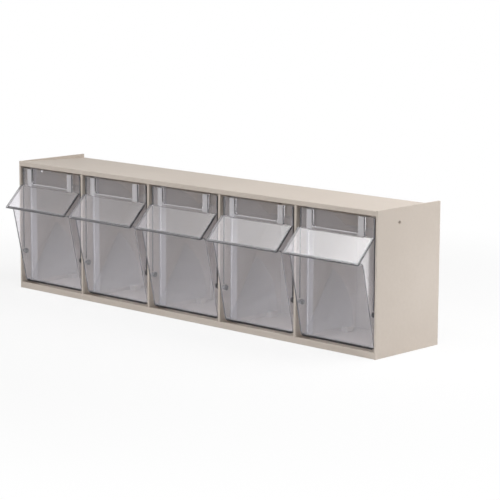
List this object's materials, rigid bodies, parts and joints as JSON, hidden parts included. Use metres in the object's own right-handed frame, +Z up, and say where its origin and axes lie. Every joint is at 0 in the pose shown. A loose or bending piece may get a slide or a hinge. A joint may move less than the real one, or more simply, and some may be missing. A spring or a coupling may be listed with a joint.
{
  "type": "tip-out bin cabinet",
  "caption": "Wide, shallow storage cabinet for small parts with a row of clear bins that tip out at the front on low pivot pins and carry a pull lip and a label frame.",
  "frame": {"origin": "centre of the bottom of the bounding box: midway between the end panels and midway between the front of the pull lips and the back, on the surface the cabinet stands on", "axes": "+X to the right as seen from the front, +Y towards the back, +Z up"},
  "size_m": [0.6, 0.1365, 0.1651],
  "materials": {
    "stone_plastic": "smooth moulded, low sheen",
    "clear_plastic": "clear glossy moulded plastic",
    "pin_plastic": "dark moulded"
  },
  "bodies": {
    "cabinet": {"top_panel": "stone_plastic", "bottom_panel": "stone_plastic", "back_panel": "stone_plastic", "left_end_panel": "stone_plastic", "right_end_panel": "stone_plastic", "divider_1": "stone_plastic", "divider_2": "stone_plastic", "divider_3": "stone_plastic", "divider_4": "stone_plastic"},
    "bin_1": {"bin_front_1": "clear_plastic", "bin_body_1": "clear_plastic", "pivot_pins_1": "pin_plastic"},
    "bin_2": {"bin_front_2": "clear_plastic", "bin_body_2": "clear_plastic", "pivot_pins_2": "pin_plastic"},
    "bin_3": {"bin_front_3": "clear_plastic", "bin_body_3": "clear_plastic", "pivot_pins_3": "pin_plastic"},
    "bin_4": {"bin_front_4": "clear_plastic", "bin_body_4": "clear_plastic", "pivot_pins_4": "pin_plastic"},
    "bin_5": {"bin_front_5": "clear_plastic", "bin_body_5": "clear_plastic", "pivot_pins_5": "pin_plastic"}
  },
  "joints": [
    {"name": "bin_1_tip", "type": "hinge", "parent": "cabinet", "child": "bin_1", "pos_m": [-0.24004, -0.03695, 0.049], "axis": [1, 0, 0], "range_deg": [0, 45]},
    {"name": "bin_2_tip", "type": "hinge", "parent": "cabinet", "child": "bin_2", "pos_m": [-0.12002, -0.03695, 0.049], "axis": [1, 0, 0], "range_deg": [0, 45]},
    {"name": "bin_3_tip", "type": "hinge", "parent": "cabinet", "child": "bin_3", "pos_m": [0, -0.03695, 0.049], "axis": [1, 0, 0], "range_deg": [0, 45]},
    {"name": "bin_4_tip", "type": "hinge", "parent": "cabinet", "child": "bin_4", "pos_m": [0.12002, -0.03695, 0.049], "axis": [1, 0, 0], "range_deg": [0, 45]},
    {"name": "bin_5_tip", "type": "hinge", "parent": "cabinet", "child": "bin_5", "pos_m": [0.24004, -0.03695, 0.049], "axis": [1, 0, 0], "range_deg": [0, 45]}
  ]
}
